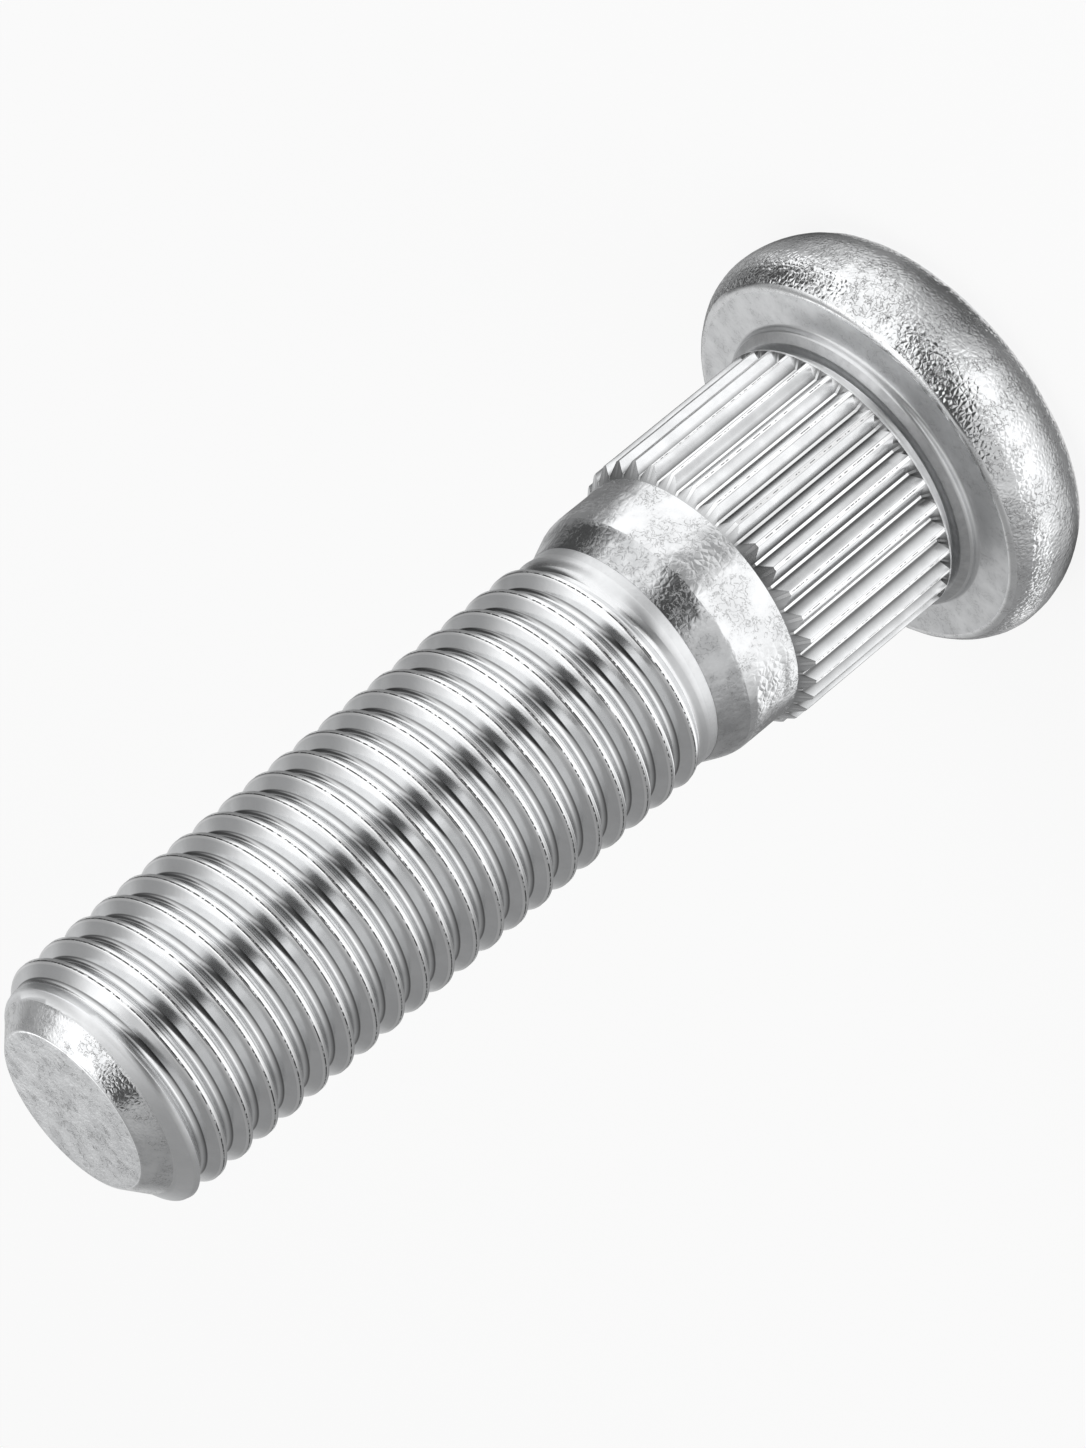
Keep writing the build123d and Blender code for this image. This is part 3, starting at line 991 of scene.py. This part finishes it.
def tentGrid():
    # a ring on the floor from the inner to the outer radius, then a dome, radius * (cos, sin) of elevation;
    # its tone is white, moved to each panel's tone by the panel's mask, and multiplied by the painted shades
    # round the head
    t = tent
    turn = np.linspace(-180, 180, t["columns"])
    nearEnd, nearCount = t["nearRows"]
    farStart, farCount = t["farRows"]
    nearRing = np.linspace(t["innerRadius"], nearEnd, nearCount)
    ring = np.concatenate([nearRing, np.linspace(farStart, t["radius"], farCount)])
    climb = np.linspace(0, 90, t["domeRows"] + 1)[1:]
    radius = np.concatenate([ring, t["radius"] * np.cos(np.radians(climb))])
    height = np.concatenate([0 * ring, t["radius"] * np.sin(np.radians(climb))])
    elevation = np.concatenate([0 * ring, climb])
    onFloor = elevation == 0
    pastNear = softStep(radius, t["nearEnd"], t["floorSoft"])
    between = pastNear * (1 - softStep(radius, t["farStart"], t["floorSoft"])) * onFloor
    near = (1 - pastNear) * onFloor
    azimuth, lift = np.meshgrid(turn, elevation)
    tone = np.full(azimuth.shape, t["white"])
    for panel in t["panels"].values():
        shown = panelMask(azimuth, lift, panel)
        if "top" in panel:
            shown *= 1 - softStep(lift, *panel["top"])
        if "bottom" in panel:
            shown *= softStep(lift, *panel["bottom"])
        panelTone = np.where(onFloor[:, None], panel.get("floorTone", panel["tone"]), panel["tone"])
        share = 1 - (1 - panel.get("between", 0.0)) * between - (1 - panel.get("near", 1.0)) * near
        tone += (panelTone - tone) * shown * share[:, None]
    back = panelMask(azimuth, lift, t["backFloor"]) * between[:, None]
    tone += (t["backFloor"]["tone"] - tone) * back
    tone += (t["nearFloor"]["tone"] - tone) * panelMask(azimuth, lift, t["nearFloor"]) * near[:, None]
    # painted shade on the tent's floor round the head and under its edge
    for values in t["shades"].values():
        shade = (1 - softStep(radius, values["radius"], values["soft"])) * onFloor
        tone *= 1 - (1 - values["share"]) * shade[:, None]
    b = np.radians(turn)[None, :]
    x = -radius[:, None] * np.sin(b)
    y = -radius[:, None] * np.cos(b)
    z = head["back"] + t["lift"] + height[:, None] + 0 * b
    return np.stack([x, y, z], axis=2) * mm, tone


tentPoints, tentTone = tentGrid()
tentSheet = sheetObject("studioTent", tentPoints, tentMaterial())
toneData = tentSheet.data.attributes.new("tone", "FLOAT", "POINT").data
toneData.foreach_set("value", tentTone.astype(np.float32).ravel())
tentSheet.visible_camera = False
tentSheet.visible_shadow = False
tentSheet.visible_diffuse = False

lampAim = 0.02      # metres above the seat, on the stud's axis
lamps = {
    "leftBox": {"azimuth": -55, "elevation": 38, "distance": 0.4, "size": 0.24, "watts": 0.25},
    "rightBox": {"azimuth": 40, "elevation": 38, "distance": 0.4, "size": 0.2, "watts": 0.16},
    "overheadBox": {"azimuth": 0, "elevation": 86, "distance": 0.45, "size": 0.34, "watts": 0.3},
}


def addLamp(name, values):
    # aim + distance * direction, with the azimuth from the camera's side, turned to face the aim
    azimuth, elevation = math.radians(values["azimuth"]), math.radians(values["elevation"])
    flat = math.cos(elevation)
    back = np.array([-math.sin(azimuth) * flat, -math.cos(azimuth) * flat, math.sin(elevation)])
    data = bpy.data.lights.new(name, "AREA")
    data.size = values["size"]
    data.energy = values["watts"]
    lamp = bpy.data.objects.new(name, data)
    bpy.context.scene.collection.objects.link(lamp)
    lamp.visible_glossy = False
    lamp.location = back * values["distance"] + np.array([0.0, 0.0, lampAim])
    lamp.rotation_mode = "QUATERNION"
    direction = -lamp.location.copy()
    direction.z += lampAim
    lamp.rotation_quaternion = direction.to_track_quat("-Z", "Y")


for lampName, lampValues in lamps.items():
    addLamp(lampName, lampValues)

studioWorld = {"horizon": 0.45, "zenith": 0.75, "zenithRise": 0.9, "seenWhite": 1.0}


def addWorld():
    # light that grows with the height from the horizon to the zenith; the camera sees plain white
    w = studioWorld
    world = bpy.data.worlds.new("softStudio")
    bpy.context.scene.world = world
    world.use_nodes = True
    tree = world.node_tree
    tree.nodes.clear()
    place = newNode(tree, "TexCoord").outputs["Generated"]
    height = newNode(tree, "SeparateXYZ", {"Vector": place}).outputs["Z"]
    inputs = {"Value": height, "From Max": w["zenithRise"], "To Min": w["horizon"], "To Max": w["zenith"]}
    climb = newNode(tree, "MapRange", inputs).outputs["Result"]
    seen = newNode(tree, "LightPath").outputs["Is Camera Ray"]
    inputs = {"Factor": seen, "A": climb, "B": w["seenWhite"]}
    strength = newNode(tree, "Mix", inputs, data_type="FLOAT").outputs["Result"]
    sky = newNode(tree, "Background", {"Strength": strength}).outputs["Background"]
    newNode(tree, "OutputWorld", {"Surface": sky})


addWorld()
print("floor, tent and lamps set")


# Camera at the photograph's angle

viewpoint = {
    "aim": (-0.065, 0.0, 19.87),
    "distance": 349.3,
    "elevation": 25.51,
    "roll": -129.55,
    "lens": 201.2,
    "sensor": 36.0,
    "clip": (0.01, 20.0),
}


def addCamera():
    # back points from the aim to the camera; right and up are turned about it by the roll
    v = viewpoint
    elevation, roll = math.radians(v["elevation"]), math.radians(v["roll"])
    back = np.array([0.0, -math.cos(elevation), math.sin(elevation)])
    level = np.array([1.0, 0.0, 0.0])
    upright = np.array([0.0, math.sin(elevation), math.cos(elevation)])
    right = math.cos(roll) * level + math.sin(roll) * upright
    up = math.cos(roll) * upright - math.sin(roll) * level
    place = (np.array(v["aim"]) + back * v["distance"]) * mm
    data = bpy.data.cameras.new("photoCamera")
    data.lens = v["lens"]
    data.sensor_width = v["sensor"]
    data.clip_start, data.clip_end = v["clip"]
    camera = bpy.data.objects.new("photoCamera", data)
    bpy.context.scene.collection.objects.link(camera)
    matrix = np.eye(4)
    matrix[:3, 0], matrix[:3, 1], matrix[:3, 2], matrix[:3, 3] = right, up, back, place
    camera.matrix_world = Matrix(matrix.tolist())
    bpy.context.scene.camera = camera


addCamera()
bpy.context.scene.view_settings.view_transform = "Standard"
print("camera set")
